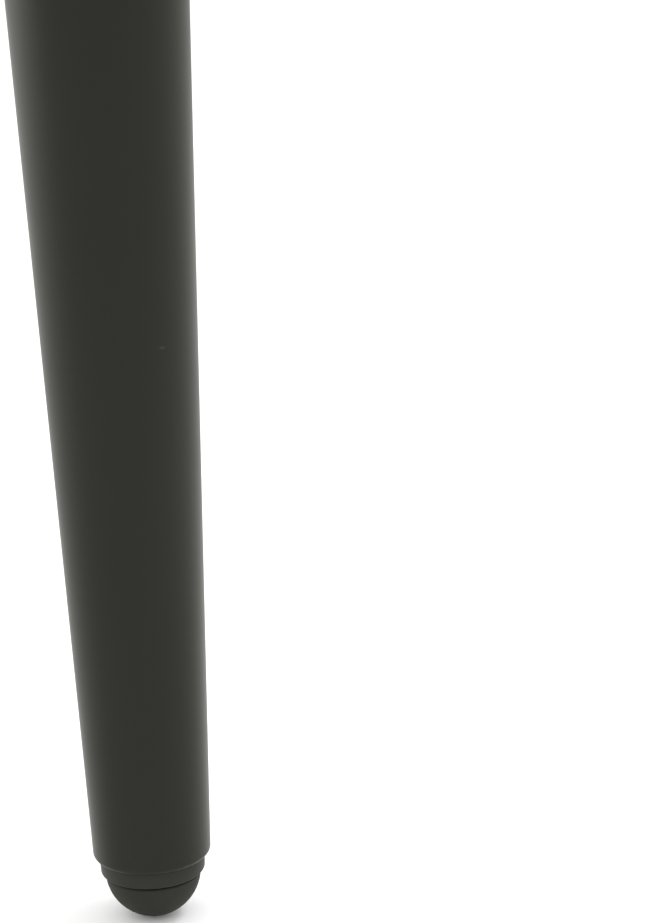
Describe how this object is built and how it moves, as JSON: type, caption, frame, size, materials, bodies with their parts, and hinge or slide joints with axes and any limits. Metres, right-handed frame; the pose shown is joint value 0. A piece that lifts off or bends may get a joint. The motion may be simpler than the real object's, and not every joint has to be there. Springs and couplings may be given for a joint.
{
  "type": "height adjustable table leg",
  "caption": "Conical steel table leg with a square screw-on plate and a half-round foot that screws in and out of a moulded end insert.",
  "frame": {"origin": "centre of the mounting plate's top face, where the tabletop rests", "axes": "+Z along the leg's axis, up into the tabletop; +X and +Y along the sides of the square plate"},
  "size_m": [0.12, 0.12, 0.71],
  "materials": {
    "powder_coat": "satin dark olive-grey powder coat",
    "insert_plastic": "satin moulded plastic",
    "foot_plastic": "matte moulded plastic",
    "zinc_steel": "bright zinc plated"
  },
  "bodies": {
    "leg": {"mounting_plate": "powder_coat", "leg_tube": "powder_coat", "plate_weld": "powder_coat", "foot_plug": "insert_plastic", "plug_nut": "zinc_steel"},
    "foot": {"foot_dome": "foot_plastic"},
    "foot_screw": {"foot_stud": "zinc_steel"}
  },
  "joints": [
    {"name": "foot_height", "type": "slide", "parent": "leg", "child": "foot", "axis": [0, 0, -1], "range_m": [0, 0.012]},
    {"name": "foot_turn", "type": "hinge", "parent": "foot", "child": "foot_screw", "pos_m": [0, 0, -0.69], "axis": [0, 0, -1], "range_deg": [0, 4320]}
  ],
  "couplings": [
    {"joint": "foot_turn", "follows": "foot_height", "rad_per_m": 6283.2}
  ]
}
